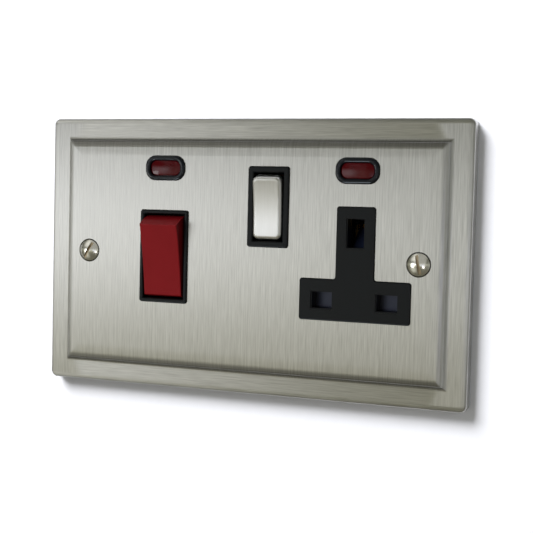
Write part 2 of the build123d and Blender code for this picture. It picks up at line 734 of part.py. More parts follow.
def neutral_contact():
    """Clip for the neutral pin, standing on its strap."""
    base = strip_front("socket") + STRIP
    contact = Pos(NEUTRAL_X, 0, PIN_LINE_Z) * clip(CLIP_MOUTH, base, CLIP_WIDTH)
    return contact + rod(STRIP_WIDTH / 2, NEUTRAL_X, PIN_LINE_Z, base, INNER_REAR - LINK)


def line_contact():
    """Clip for the line pin, with the strip that brings it to the socket switch."""
    front = strip_front("socket")
    button = (SWITCH_X, SWITCH_Z + CONTACT_ARM)
    route = [button, (LIVE_COLUMN, button[1]), (LIVE_COLUMN, LIVE_ROW)]
    route += [(LINE_X, LIVE_ROW), (LINE_X, PIN_LINE_Z)]
    contact = Pos(LINE_X, 0, PIN_LINE_Z) * clip(CLIP_MOUTH, front + STRIP, CLIP_WIDTH)
    contact = joined(contact, strip(route, STRIP_WIDTH, front, front + STRIP))
    return contact + rod(BUTTON_RADIUS, *button, front - BUTTON, front)


def earth_contact():
    """Clip for the earth pin, on edge, with its strip and its own terminal."""
    contact = Pos(SOCKET_X, 0, EARTH_Z) * Rot(0, 90, 0) * clip(EARTH_MOUTH, INNER_REAR, CLIP_WIDTH)
    route = [(SOCKET_X, EARTH_Z), (SOCKET_X, terminal_z(1) - TERMINAL[2] / 2)]
    return terminal_block(SOCKET_X, 1, [contact, *strip(route, STRIP_WIDTH, INNER_REAR - STRIP, INNER_REAR)])


def shutter():
    """Sliding shutter: a bar over the live openings, a stem, and the ramp that the earth pin pushes."""
    bar_width = PIN_PITCH + LIVE_SLOT[0] + 2 * SHUTTER_COVER
    bar_top = PIN_LINE_Z + LIVE_SLOT[1] / 2 + SHUTTER_COVER
    foot = shutter_foot()
    bar = Pos(SOCKET_X, (bar_top + foot) / 2) * Rectangle(bar_width, bar_top - foot)
    ramp_foot = EARTH_Z - EARTH_SLOT[1] / 2
    stem = Pos(SOCKET_X, (ramp_foot + foot) / 2) * Rectangle(SHUTTER_STEM, ramp_foot - foot)
    blade = slab(bar + stem, SHUTTER_FRONT, SHUTTER_REAR)
    ramp_rear = SHUTTER_FRONT + RAMP_DEPTH
    heel = ramp_heel()
    ramp = Polyline(
        (SHUTTER_FRONT, heel),
        (SHUTTER_FRONT, ramp_foot),
        (ramp_rear, ramp_foot + SHUTTER_TRAVEL),
        (ramp_rear, heel),
        close=True,
    )
    ramp = Pos(SOCKET_X, 0, 0) * extrude(Plane.YZ * make_face(ramp), amount=RAMP_WIDTH / 2, both=True)
    spigot = Plane.XY.offset(foot) * Pos(SOCKET_X, shutter_coil_y()) * Circle(SPIGOT)
    return blade + ramp + extrude(spigot, amount=-SHUTTER_SHEET)


def shutter_spring():
    """Coil spring that lifts the shutter back over the live openings."""
    length = shutter_foot() - spring_floor() - 2 * RUN
    spring = coil(SHUTTER_COIL, length, 2 * SPRING_TURNS)
    return Pos(SOCKET_X, shutter_coil_y(), spring_floor() + RUN) * spring


def lamp_bezel(x):
    """Raised oval rim of a lamp window, flanged behind the plate and stepped for its lens."""
    floor = BACKING_FRONT + BEZEL_SEAT
    front = -PANEL_RISE - BEZEL_PROUD
    rim = slab(oval(BEZEL, BEZEL_CORNER), front, floor)
    rim = fillet(front_edges(rim), BEZEL_EDGE)
    rim -= slab(oval(LENS, LENS_CORNER, FIT), front, floor)
    rim = fillet(mouth_edges(rim), BEZEL_LIP)
    rim += slab(oval(BEZEL, BEZEL_CORNER, BEZEL_FLANGE), BACKING_FRONT, floor)
    rim -= slab(oval(LENS, LENS_CORNER, FIT), BACKING_FRONT, floor)
    rim -= slab(oval(LENS, LENS_CORNER, LENS_STEP + FIT), front + LENS_LIP + BEZEL_EDGE, floor)
    return Pos(x, 0, LAMP_Z) * rim


def lamp_lens(x):
    """Red window with a domed face, held behind the rim by its step."""
    floor = BACKING_FRONT + BEZEL_SEAT
    front = -PANEL_RISE - LENS_PROUD
    shoulder = -PANEL_RISE - BEZEL_PROUD + LENS_LIP + BEZEL_EDGE + FIT
    dome = (LENS[0] ** 2 / 4 + LENS_CROWN**2) / (2 * LENS_CROWN)
    lens = slab(oval(LENS, LENS_CORNER), front, floor) & Pos(0, front + dome, 0) * Sphere(dome)
    lens = fillet(lens.faces().sort_by(Axis.Y)[0].outer_wire().edges(), LENS_EDGE)
    return Pos(x, 0, LAMP_Z) * (lens + slab(oval(LENS, LENS_CORNER, LENS_STEP), shoulder, floor))


def neon_lamp(x):
    """Neon indicator: a glass capsule with a lead out of each end."""
    capsule = extrude(Plane.YZ * Circle(LAMP_RADIUS), amount=LAMP_LENGTH / 2, both=True)
    capsule = chamfer(capsule.edges().filter_by(GeomType.CIRCLE), LAMP_NOSE)
    leads = extrude(Plane.YZ * Circle(LAMP_LEAD), amount=LAMP_LENGTH / 2 + LAMP_RADIUS, both=True)
    return Pos(x, LAMP_Y, LAMP_Z) * (capsule + leads)


def well(x, side, margin, floor, rear):
    """Space for a terminal at the housing's edge, open to the edge."""
    inner = HOUSING_HEIGHT / 2 - TERMINAL_SET_IN - TERMINAL[2] - margin
    outer = HOUSING_HEIGHT / 2
    middle = side * (inner + outer) / 2
    return slab(Pos(x, middle) * Rectangle(TERMINAL[0] + 2 * margin, outer - inner), floor, rear)


def strip_gate(x, side, front, back):
    """Notch in the inner wall of a terminal well where its strip passes."""
    edge = HOUSING_HEIGHT / 2 - TERMINAL_SET_IN - TERMINAL[2]
    gate = Pos(x, side * edge) * Rectangle(STRIP_WIDTH + 2 * LOOSE, 4 * (WELL_WALL + LOOSE))
    return slab(gate, front - LOOSE, back)


def rear_housing():
    """Moulded back box: terminal wells at its edges, seats for the straps and sunk screw holes."""
    outline = RectangleRounded(HOUSING_WIDTH, HOUSING_HEIGHT, HOUSING_CORNER)
    housing = slab(outline, BACKING_REAR, HOUSING_DEPTH)
    housing = chamfer(rear_edges(housing), HOUSING_EDGE)
    inside = RectangleRounded(2 * INNER_HALF_WIDTH, 2 * INNER_HALF_HEIGHT, HOUSING_CORNER - HOUSING_WALL)
    housing -= slab(inside, BACKING_REAR, INNER_REAR)
    cooker_front = strip_front("cooker")
    cooker_rear = cooker_front + STRIP + LOOSE
    wells = [(COOKER_X + way * TERMINAL_OFFSET, side) for way in POLES.values() for side in (-1, 1)]
    gates = {place: (cooker_front, cooker_rear) for place in wells}
    wells.append((SOCKET_X, 1))
    gates[wells[-1]] = (INNER_REAR - STRIP, INNER_REAR)
    shell = slab(outline, BACKING_REAR, HOUSING_DEPTH)
    for x, side in wells:
        wall = well(x, side, LOOSE + WELL_WALL, TERMINAL_FLOOR - WELL_WALL, INNER_REAR)
        housing += wall & shell
    for x, side in wells:
        housing -= well(x, side, LOOSE, TERMINAL_FLOOR, HOUSING_DEPTH)
        housing -= strip_gate(x, side, *gates[(x, side)])
    seats = [
        (LIVE_COLUMN, 0, strip_front("socket") + STRIP),
        (LINE_X, PIN_LINE_Z, strip_front("socket") + STRIP),
        (SWITCH_X, 0, strip_front("cooker") + STRIP + LINK),
    ]
    for x, z, front in seats:
        housing += rod(STRIP_WIDTH / 2, x, z, front, INNER_REAR)
    for x in (-POST_X, POST_X):
        for z in (-POST_Z, POST_Z):
            housing += rod(CASE_HEAD_RADIUS + LOOSE, x, z, POST_REAR + TOUCH, INNER_REAR)
            housing -= rod(CASE_HEAD_RADIUS + FIT, x, z, HOUSING_DEPTH - CASE_SEAT, HOUSING_DEPTH)
            housing -= rod(CASE_SCREW_RADIUS + FIT, x, z, POST_REAR, HOUSING_DEPTH)
    return housing


def case_screw(x, z):
    """Pan-head screw that holds the housing to a post of the front moulding."""
    seat = HOUSING_DEPTH - CASE_SEAT
    screw = rod(CASE_SCREW_RADIUS, x, z, POST_REAR - CASE_SCREW_GRIP, seat)
    head = rod(CASE_HEAD_RADIUS, x, z, seat, seat + CASE_HEAD)
    head = chamfer(rear_edges(head), CASE_HEAD / 4)
    groove = Pos(x, z) * Rectangle(2 * CASE_HEAD_RADIUS, SCREW_SLOT)
    return screw + head - slab(groove, seat + CASE_HEAD / 2, seat + CASE_HEAD)


def build():
    """Every piece of the unit by the name of its node."""
    parts = {
        "face_plate": face_plate(),
        "front_moulding": front_moulding(),
        "rear_housing": rear_housing(),
        "cooker_rocker": cooker_rocker(),
        "socket_rocker": socket_rocker(),
        "socket_rocker_cap": socket_rocker_cap(),
        "line_link": line_link(),
        "neutral_link": neutral_link(),
        "line_contact": line_contact(),
        "neutral_contact": neutral_contact(),
        "earth_contact": earth_contact(),
        "shutter": shutter(),
        "shutter_spring": shutter_spring(),
    }
    ends = zip((-1, 1), SCREW_TURNS)
    parts["fixing_screws"] = Compound([fixing_screw(side * SCREW_PITCH / 2, turn) for side, turn in ends])
    corners = [(x, z) for x in (-POST_X, POST_X) for z in (-POST_Z, POST_Z)]
    parts["case_screws"] = Compound([case_screw(x, z) for x, z in corners])
    clamps = [clamp_screw(SOCKET_X, 1)]
    for pole, way in POLES.items():
        parts[f"load_terminal_{pole}"] = load_terminal(pole)
        parts[f"feed_terminal_{pole}"] = feed_terminal(pole)
        x = way * POLE_OFFSET
        contact = seesaw(SEESAW_TILT["cooker"])
        parts[f"cooker_contact_{pole}"] = Pos(COOKER_X + x, SEESAW_Y, COOKER_Z) * contact
        parts[f"cooker_plunger_{pole}"] = placed(plunger(x), COOKER_X, COOKER_Z, COOKER_TILT)
        parts[f"cooker_spring_{pole}"] = placed(plunger_spring(x), COOKER_X, COOKER_Z, COOKER_TILT)
        clamps += [clamp_screw(COOKER_X + way * TERMINAL_OFFSET, side) for side in (-1, 1)]
    parts["clamp_screws"] = Compound(clamps)
    parts["socket_contact"] = Pos(SWITCH_X, SEESAW_Y, SWITCH_Z) * seesaw(SEESAW_TILT["socket"])
    parts["socket_plunger"] = placed(plunger(0), SWITCH_X, SWITCH_Z, SWITCH_TILT)
    parts["socket_spring"] = placed(plunger_spring(0), SWITCH_X, SWITCH_Z, SWITCH_TILT)
    for name, x in (("cooker", COOKER_X), ("socket", SOCKET_X)):
        parts[f"{name}_lamp_bezel"] = lamp_bezel(x)
        parts[f"{name}_lamp_lens"] = lamp_lens(x)
        parts[f"{name}_lamp"] = neon_lamp(x)
    return parts


os.makedirs("parts", exist_ok=True)
for node, solid in build().items():
    export_step(solid, f"parts/{node}.step")
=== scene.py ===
# %% [markdown]
# # A cooker socket in brushed steel
# The unit comes in as solids that already have their true size and place. This lesson gives them the
# finishes that the eye expects: brushed sheet, moulded plastics, turned screws and pressed brass. First
# the frame is loaded.

# %% Load the frame
import math

import bmesh
import bpy
from mathutils import Matrix, Vector


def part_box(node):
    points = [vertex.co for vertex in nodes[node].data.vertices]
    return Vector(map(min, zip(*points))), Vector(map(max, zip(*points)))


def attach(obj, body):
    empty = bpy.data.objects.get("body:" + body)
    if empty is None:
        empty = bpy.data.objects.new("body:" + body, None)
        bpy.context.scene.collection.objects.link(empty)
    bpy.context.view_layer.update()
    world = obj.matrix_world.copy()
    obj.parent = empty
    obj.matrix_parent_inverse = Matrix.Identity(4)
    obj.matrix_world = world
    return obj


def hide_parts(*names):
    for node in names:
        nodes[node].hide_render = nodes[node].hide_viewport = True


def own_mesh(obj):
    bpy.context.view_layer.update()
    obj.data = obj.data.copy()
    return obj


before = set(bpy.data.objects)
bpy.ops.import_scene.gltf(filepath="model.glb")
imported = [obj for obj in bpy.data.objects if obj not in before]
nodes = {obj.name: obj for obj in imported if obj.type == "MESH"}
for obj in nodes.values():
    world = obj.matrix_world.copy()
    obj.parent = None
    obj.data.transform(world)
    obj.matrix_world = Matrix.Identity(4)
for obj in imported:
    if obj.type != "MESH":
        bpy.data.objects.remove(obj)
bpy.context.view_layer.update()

print("pieces in the frame:", len(nodes))

# %% [markdown]
# ## The camera
# The photograph looks at the plate from its right and a little above. The lens, the place and the turn
# were worked out from the straight edges of the plate and the spacing of the pin openings. A camera can
# also be turned by three angles, but those depend on their order. A matrix holds all three axes at once:
# its columns are the camera's right, its up and the way back from the subject.

# %% Camera
MM = 0.001
right = Vector((0.92631333, 0.37595277, 0.02455879))
up = Vector((-0.04449739, 0.04444267, 0.99802046))
back = right.cross(up)
place = Vector((155.33, -370.95, 19.94)) * MM

lens = bpy.data.cameras.new("photo_lens")
lens.sensor_width = 36.0
lens.lens = 79.27
lens.clip_start = 0.01
camera = bpy.data.objects.new("photo_camera", lens)
axes = Matrix((right, up, back)).transposed().to_4x4()
camera.matrix_world = Matrix.Translation(place) @ axes
bpy.context.scene.collection.objects.link(camera)
bpy.context.scene.camera = camera
bpy.context.scene.view_settings.view_transform = "Standard"
print("camera stands", round(place.length, 3), "m from the middle of the plate")

# %% [markdown]
# ## Colours and sizes
# Paint cards give colours as sRGB hex codes, but a shader mixes light, which adds up in linear values.
# One function turns the first into the second for every colour in this lesson. Places on a piece are in
# metres, so a pattern of a known size in millimetres gets a scale of one over that size.

# %% Colours and sizes
def linear(code):
    """sRGB hex, such as c8c8c0, as linear red, green, blue and alpha."""
    channels = [int(code[i:i + 2], 16) / 255 for i in (0, 2, 4)]
    return [c / 12.92 if c <= 0.04045 else ((c + 0.055) / 1.055) ** 2.4 for c in channels] + [1.0]


def per_mm(size):
    """Pattern scale for a feature of this many millimetres."""
    return 1.0 / (size * MM)


print("grey 808080 in linear light:", round(linear("808080")[0], 3))
print("scale of a pattern of 2 mm:", per_mm(2.0))

# %% [markdown]
# ## Nodes and materials
# Every finish below is a small tree of nodes. Trees can be drawn by hand in the shader editor, but one
# that is written down can be read and changed later. One function sets or links the inputs of a node, one
# adds a node with its settings, one starts a material, and one puts a material on pieces of the frame.

# %% Nodes and materials
def plug(tree, node, inputs):
    """Links the inputs of a node to other nodes, or sets their values."""
    for name, value in inputs.items():
        if isinstance(value, bpy.types.NodeSocket):
            tree.links.new(value, node.inputs[name])
        else:
            node.inputs[name].default_value = value


def add(tree, kind, inputs=None, **settings):
    """A new node with its settings and its inputs."""
    made = tree.nodes.new(kind)
    for name, value in settings.items():
        setattr(made, name, value)
    plug(tree, made, inputs or {})
    return made


def finish_named(name):
    """A new material: its tree, its shader and the Object coordinates of the piece."""
    material = bpy.data.materials.new(name)
    material.use_nodes = True
    tree = material.node_tree
    shader = tree.nodes["Principled BSDF"]
    place_on_piece = add(tree, "ShaderNodeTexCoord").outputs["Object"]
    return material, tree, shader, place_on_piece


def dress(material, *names):
    """Gives pieces of the frame their finish."""
    for name in names:
        piece = nodes[name].data
        piece.materials.clear()
        piece.materials.append(material)
    print(material.name, "on", ", ".join(names))


print("helpers:", ", ".join(helper.__name__ for helper in (plug, add, finish_named, dress)))

# %% [markdown]
# ## Streaks of a brushed sheet
# The plate is satin stainless steel, scratched by an abrasive belt. A scratch is a speck of noise that is
# drawn out along the run of the belt, so one stretched noise gives them all, and no line is placed by
# hand. Real scratches are a few hundredths of a millimetre wide. The fine ones are drawn a third of a
# millimetre wide so that they show, and broader ones are mixed in because no belt is quite even.

# %% Streaks
FINE_STREAKS, BROAD_STREAKS = (0.33, 8.0), (0.66, 22.0)


def streaks(tree, place_on_piece, across, along, turned):
    """Noise drawn out into scratches, along Z or, turned, along X."""
    wide, long = per_mm(across), per_mm(along)
    stretch = (long, 1.0, wide) if turned else (wide, 1.0, long)
    drawn = add(tree, "ShaderNodeMapping", {"Vector": place_on_piece, "Scale": stretch}).outputs[0]
    return add(tree, "ShaderNodeTexNoise", {"Vector": drawn, "Scale": 1.0, "Detail": 3.0}).outputs["Fac"]


print("streaks, width and length in mm:", FINE_STREAKS, BROAD_STREAKS)

# %% [markdown]
# ## Where the belt ran
# On the raised panel and the two side borders the scratches run up and down, and on the top and bottom
# borders they run across. The direction changes at the foot of the step and along a soft, slanted line
# near each corner. The cove at the foot of the step is painted darker, as painted shade: a little at the
# sides, more above and below, and most above. The rolled edge gets painted shade too, which dims its
# reflection. A mask in a picture could hold all this, but the place on the plate holds it already. Each
# row of the first table is a measure in millimetres, with the values where a zone starts and where it is
# full. The second table combines those zones.

# %% Where the belt ran
plate_low, plate_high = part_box("face_plate")
STEP_INSET = 10.0 * MM
SLANT = 0.42
# Painted shade strengths: cove at the sides, added above and below, added at the top, rolled edge.
SIDE_COVE_SHADE, LEVEL_COVE_SHADE, UPPER_COVE_SHADE, ROLLED_EDGE_SHADE = 0.18, 0.32, 0.12, 0.3


def plate_zones(tree, place_on_piece):
    """How far the scratches run across, and the painted shade in the cove and on the rolled edge."""
    split = add(tree, "ShaderNodeSeparateXYZ", {0: place_on_piece})
    side, height = [
        add(tree, "ShaderNodeMath", {0: split.outputs[axis]}, operation="ABSOLUTE").outputs[0]
        for axis in "XZ"
    ]
    slant = add(tree, "ShaderNodeMath", {0: height, 1: SLANT, 2: side}, operation="MULTIPLY_ADD").outputs[0]
    mitre = add(tree, "ShaderNodeMath", {0: height, 1: side}, operation="SUBTRACT").outputs[0]
    past = []
    for inset in (STEP_INSET, 0.0):
        beyond = [
            add(tree, "ShaderNodeMath", {0: value, 1: edge - inset}, operation="SUBTRACT").outputs[0]
            for value, edge in ((side, plate_high.x), (height, plate_high.z))
        ]
        past.append(add(tree, "ShaderNodeMath", dict(enumerate(beyond)), operation="MAXIMUM").outputs[0])
    past_panel, past_plate = past
    soft_edges = {
        "border": (height, 39.6, 40.4),
        "off_corner": (slant, 86.4, 81.4),
        "rim": (height, 44.7, 45.3),
        "into_cove": (past_panel, 0.2, 0.9),
        "out_of_cove": (past_panel, 3.3, 2.5),
        "level_cove": (mitre, -31.0, -29.0),
        "upper_cove": (split.outputs["Z"], 36.0, 38.0),
        "into_edge": (past_plate, -0.9, -0.35),
        "out_of_edge": (split.outputs["Y"], -3.85, -4.05),
    }
    zones = {}
    for name, (value, start, full) in soft_edges.items():
        limits = {"Value": value, "From Min": start * MM, "From Max": full * MM}
        zones[name] = add(tree, "ShaderNodeMapRange", limits).outputs[0]
    for name, operation, *terms in (
        ("inner_border", "MULTIPLY", "border", "off_corner"),
        ("run_across", "MAXIMUM", "inner_border", "rim"),
        ("cove", "MULTIPLY", "into_cove", "out_of_cove"),
        # From here the rows weigh the painted shade in the cove and on the rolled edge.
        ("level_share", "MULTIPLY_ADD", "upper_cove", UPPER_COVE_SHADE, LEVEL_COVE_SHADE),
        ("share", "MULTIPLY_ADD", "level_cove", "level_share", SIDE_COVE_SHADE),
        ("cove_shade", "MULTIPLY", "cove", "share"),
        ("edge", "MULTIPLY", "into_edge", "out_of_edge"),
        ("painted_shade", "MULTIPLY_ADD", "edge", ROLLED_EDGE_SHADE, "cove_shade"),
    ):
        values = dict(enumerate(zones.get(term, term) for term in terms))
        zones[name] = add(tree, "ShaderNodeMath", values, operation=operation).outputs[0]
    return zones["run_across"], zones["painted_shade"]


print("plate in mm:", [round(size / MM, 2) for size in plate_high - plate_low])

# %% [markdown]
# ## Brushed stainless sheet
# Fine scratches spread a reflection at right angles to themselves. Real grooves would need millions of
# faces, so the shader does the spreading: it is anisotropic, and its tangent is the direction of the
# spread, sideways where scratches run up and down and upright where they run across. The streaks also
# move the colour and the roughness a little and lift a very shallow bump.

# %% Brushed stainless sheet
def brushed_stainless():
    """Satin steel with the streaks and turns of its belt, and painted shade in the cove and on the rolled
    edge.
    """
    material, tree, shader, place_on_piece = finish_named("stainless_belt_brushed")
    run_across, painted_shade = plate_zones(tree, place_on_piece)
    sizes = []
    for across, along in (FINE_STREAKS, BROAD_STREAKS):
        lines = [streaks(tree, place_on_piece, across, along, turned) for turned in (False, True)]
        sizes.append(add(tree, "ShaderNodeMix", {0: run_across, 2: lines[0], 3: lines[1]}).outputs[0])
    marks = add(tree, "ShaderNodeMix", {0: 0.4, 2: sizes[0], 3: sizes[1]}).outputs[0]
    usual = {"Value": marks, "From Min": 0.3, "From Max": 0.7}
    tone = add(tree, "ShaderNodeMapRange", usual).outputs[0]
    rough = add(tree, "ShaderNodeMapRange", {**usual, "To Min": 0.29, "To Max": 0.35}).outputs[0]
    steel = {0: tone, 6: linear("b9b9b6"), 7: linear("e1e1de")}
    scratched = add(tree, "ShaderNodeMix", steel, data_type="RGBA").outputs[2]
    # Painted shade: the cove and the rolled edge are mixed towards dark olive.
    darkened = {0: painted_shade, 6: scratched, 7: linear("2e2a20")}
    colour = add(tree, "ShaderNodeMix", darkened, data_type="RGBA").outputs[2]
    sideways_or_upright = {0: run_across, 4: (1, 0, 0), 5: (0, 0, 1)}
    spread = add(tree, "ShaderNodeMix", sideways_or_upright, data_type="VECTOR").outputs[1]
    bump = add(tree, "ShaderNodeBump", {"Strength": 0.06, "Distance": 0.02 * MM, "Height": marks}).outputs[0]
    plug(tree, shader, {
        "Base Color": colour,
        "Roughness": rough,
        "Tangent": spread,
        "Normal": bump,
        "Metallic": 1.0,
        "Anisotropic": 0.75,
    })
    return material


dress(brushed_stainless(), "face_plate")

# %% [markdown]
# ## A metal and the marks of its making
# Turning and rolling leave fine lines on a metal, and plating leaves soft clouds. Each metal could have a
# tree of its own, but they differ only in their values, so one function serves them all. A noise that is
# as long as the marks in each direction moves the colour and the roughness and lifts a very shallow bump.

# %% A worked metal
def worked_metal(name, dark, light, roughness, grain, spread=0.0):
    """A metal with marks of these sizes in millimetres along X, Y and Z."""
    material, tree, shader, place_on_piece = finish_named(name)
    scale = [per_mm(size) for size in grain]
    drawn = add(tree, "ShaderNodeMapping", {"Vector": place_on_piece, "Scale": scale}).outputs[0]
    marks = add(tree, "ShaderNodeTexNoise", {"Vector": drawn, "Scale": 1.0, "Detail": 4.0}).outputs["Fac"]
    tones = {0: marks, 6: linear(dark), 7: linear(light)}
    gloss = {"Value": marks, "To Min": roughness * 0.75, "To Max": roughness * 1.25}
    relief = {"Strength": 0.05, "Distance": 0.02 * MM, "Height": marks}
    plug(tree, shader, {
        "Base Color": add(tree, "ShaderNodeMix", tones, data_type="RGBA").outputs[2],
        "Roughness": add(tree, "ShaderNodeMapRange", gloss).outputs[0],
        "Normal": add(tree, "ShaderNodeBump", relief).outputs[0],
        "Metallic": 1.0,
        "Anisotropic": spread,
    })
    if spread:
        sideways = add(tree, "ShaderNodeCombineXYZ", {0: 1.0}).outputs[0]
        plug(tree, shader, {"Tangent": sideways})
    return material


bright_steel = worked_metal("steel_turned_bright", "cfcdc4", "e6e5de", 0.2, (0.6, 2.0, 0.6))
dull_steel = worked_metal("steel_sawn_dull", "a8987e", "c6b89f", 0.55, (0.3, 0.3, 2.0))
spring_steel = worked_metal("steel_spring_wire", "7d7d7e", "a5a5a6", 0.28, (0.3, 0.3, 0.3))
print("steels:", bright_steel.name, dull_steel.name, spring_steel.name)

# %% [markdown]
# ## Metals of the unit
# The cap of the socket rocker is a pressed shell of nickel with a satin brushed up and down it. The works
# behind are rolled: brass for the clips and terminals, copper strip for the straps and the rocking
# contacts. Their screws are zinc plated, and the springs are drawn steel wire. The colours are those of
# clean metal, because the unit is new.

# %% Metals of the unit
nickel = worked_metal("nickel_pressed_brushed", "dcdcda", "f0f0ef", 0.34, (0.3, 3.0, 7.0), 0.6)
brass = worked_metal("brass_rolled", "b08a3e", "cfae62", 0.28, (0.4, 4.0, 6.0))
copper = worked_metal("copper_strip_rolled", "b06a44", "cf8a62", 0.3, (6.0, 4.0, 0.4))
zinc = worked_metal("steel_zinc_plated", "b5b1a0", "d3cfbf", 0.3, (1.5, 1.5, 1.5))
terminals = [f"{side}_terminal_{pole}" for side in ("feed", "load") for pole in ("line", "neutral")]
dress(nickel, "socket_rocker_cap")
dress(brass, "line_contact", "neutral_contact", "earth_contact", *terminals)
dress(copper, "cooker_contact_line", "cooker_contact_neutral", "socket_contact", "line_link", "neutral_link")
dress(zinc, "clamp_screws", "case_screws")
dress(spring_steel, "cooker_spring_line", "cooker_spring_neutral", "socket_spring")

# %% [markdown]
# ## Turning the fixing screws
# The solids show the two fixing screws with plain shanks. Here they are made again, with the M3.5 thread
# that is seen from behind. A real one is turned, and a lathe is a spin: half of the outline, from the top
# of the dome to the tip, is swept once round the axis. A sphere, a cone and a cylinder could be joined
# instead, but the spin gives one closed skin at once.

# %% Turned blank
HEAD, DOME, THREAD, CORE = 3.7 * MM, 1.15 * MM, 1.75 * MM, 1.4 * MM
TIP_CHAMFER, HAIR = 0.4 * MM, 0.001 * MM
DOME_STEPS, TURN_STEPS = 10, 48
screws_low, screws_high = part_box("fixing_screws")
panel_front = plate_low.y
tip = screws_high.y - panel_front


def chain(shape, outline):
    """Vertices at radii and depths, joined in a row."""
    corners = [shape.verts.new((radius, depth, 0.0)) for radius, depth in outline]
    return corners, [shape.edges.new(ends) for ends in zip(corners, corners[1:])]


def turned_blank(shape):
    """The lathe work: a domed countersunk head, the core of the thread and a chamfered tip."""
    bend = (HEAD ** 2 + DOME ** 2) / (2 * DOME)
    sweep = math.asin(HEAD / bend)
    angles = [sweep * step / DOME_STEPS for step in range(DOME_STEPS + 1)]
    dome = [(bend * math.sin(angle), bend * (1 - math.cos(angle)) - DOME) for angle in angles]
    shank = [(CORE, HEAD - CORE), (CORE, tip - TIP_CHAMFER), (CORE - TIP_CHAMFER, tip), (0.0, tip)]
    corners, edges = chain(shape, dome + shank)
    bmesh.ops.spin(
        shape, geom=corners + edges, cent=(0, 0, 0), axis=(0, 1, 0),
        angle=math.tau, steps=TURN_STEPS, use_merge=True,
    )
    bmesh.ops.remove_doubles(shape, verts=shape.verts[:], dist=HAIR)


print("a screw is", round((tip + DOME) / MM, 2), "mm long")

# %% [markdown]
# ## Sawing the slots
# A slitting saw leaves a straight slot with square walls. A boolean could cut it too, but slicing keeps
# every new face in hand: three planes cut the dome, what lies between them is taken out, and two walls
# and a floor close the gap. Those faces carry the second material, because a sawn face is duller than a
# turned one.

# %% Sawn slot
HALF_SLOT, SLOT_FLOOR = 0.5 * MM, -0.35 * MM


def cut_slot(shape, degrees):
    """A straight slot across the dome, at this angle to the level."""
    across = Vector((-math.sin(math.radians(degrees)), 0, math.cos(math.radians(degrees))))
    along = across.cross((0, 1, 0))
    floor = Vector((0, SLOT_FLOOR, 0))
    for point, normal in ((across * HALF_SLOT, across), (-across * HALF_SLOT, across), (floor, (0, 1, 0))):
        whole = shape.verts[:] + shape.edges[:] + shape.faces[:]
        bmesh.ops.bisect_plane(shape, geom=whole, plane_co=point, plane_no=normal)
    centres = {face: face.calc_center_median() for face in shape.faces}
    waste = [face for face, at in centres.items() if abs(at.dot(across)) < HALF_SLOT and at.y < SLOT_FLOOR]
    bmesh.ops.delete(shape, geom=waste, context="FACES")
    rim = [edge for edge in shape.edges if edge.is_boundary]
    mouth = [edge for edge in rim if min(end.co.y for end in edge.verts) < SLOT_FLOOR - 2 * HAIR]
    floor_sides = []
    sawn = []
    for hand in (-1, 1):
        lip = {end for edge in mouth for end in edge.verts if end.co.dot(across) * hand > 0}
        arc = sorted(lip, key=lambda end: end.co.dot(along))
        sawn.append(shape.faces.new(arc))
        floor_sides.append(shape.edges.get((arc[0], arc[-1])))
    floor_ends = [edge for edge in rim if edge not in mouth]
    sawn += bmesh.ops.contextual_create(shape, geom=floor_sides + floor_ends)["faces"]
    for face in sawn:
        face.material_index = 1


print("slot:", 2 * HALF_SLOT / MM, "mm wide and", round((DOME + SLOT_FLOOR) / MM, 2), "mm deep")

# %% [markdown]
# ## Cutting the thread
# A thread is one ridge that winds down the core. Rings stacked along the shank would look much the same,
# but they wouldn't climb. So a small triangle is spun many times round while it travels along the axis,
# and its two ends are closed. The spring further down is wound by the same function.

# %% Thread
PITCH, THREAD_STEPS = 0.6 * MM, 18
FLANK, SUNK = 0.24 * MM, 0.04 * MM
PLAIN_NECK, PLAIN_TIP = 0.9 * MM, 0.7 * MM


def wind(shape, outline, pitch, turns, steps):
    """A closed outline that is spun round the axis while it travels along it."""
    corners, edges = chain(shape, outline)
    edges.append(shape.edges.new((corners[-1], corners[0])))
    bmesh.ops.spin(
        shape, geom=corners + edges, cent=(0, 0, 0), axis=(0, 1, 0), dvec=(0, pitch / steps, 0),
        angle=math.tau * turns, steps=steps * turns,
    )
    open_ends = [edge for edge in shape.edges if edge.is_boundary]
    bmesh.ops.holes_fill(shape, edges=open_ends, sides=len(outline))


thread_start = HEAD - CORE + PLAIN_NECK
thread_turns = int((tip - PLAIN_TIP - thread_start) / PITCH)
root = CORE - SUNK
ridge = [(root, thread_start - FLANK), (THREAD, thread_start), (root, thread_start + FLANK)]
print("turns of thread:", thread_turns)

# %% [markdown]
# ## The pair of screws
# Each screw is made at the origin, where its axis is simple, and is then moved to its hole. The slots
# stand at different angles, as a fitter leaves them. Faces are shaded smooth, and edges that turn sharply
# are kept crisp. Both screws become one piece, as they are in the frame, and it stands in for the plain
# ones.

# %% Pair of screws
SLOT_ANGLES = (60.0, 102.0)
CREASE = math.radians(35)


def finished_piece(shape, name, *materials):
    """The shape as an object at the origin, with its materials."""
    mesh = bpy.data.meshes.new(name)
    shape.to_mesh(mesh)
    shape.free()
    for material in materials:
        mesh.materials.append(material)
    made = bpy.data.objects.new(name, mesh)
    bpy.context.scene.collection.objects.link(made)
    return made


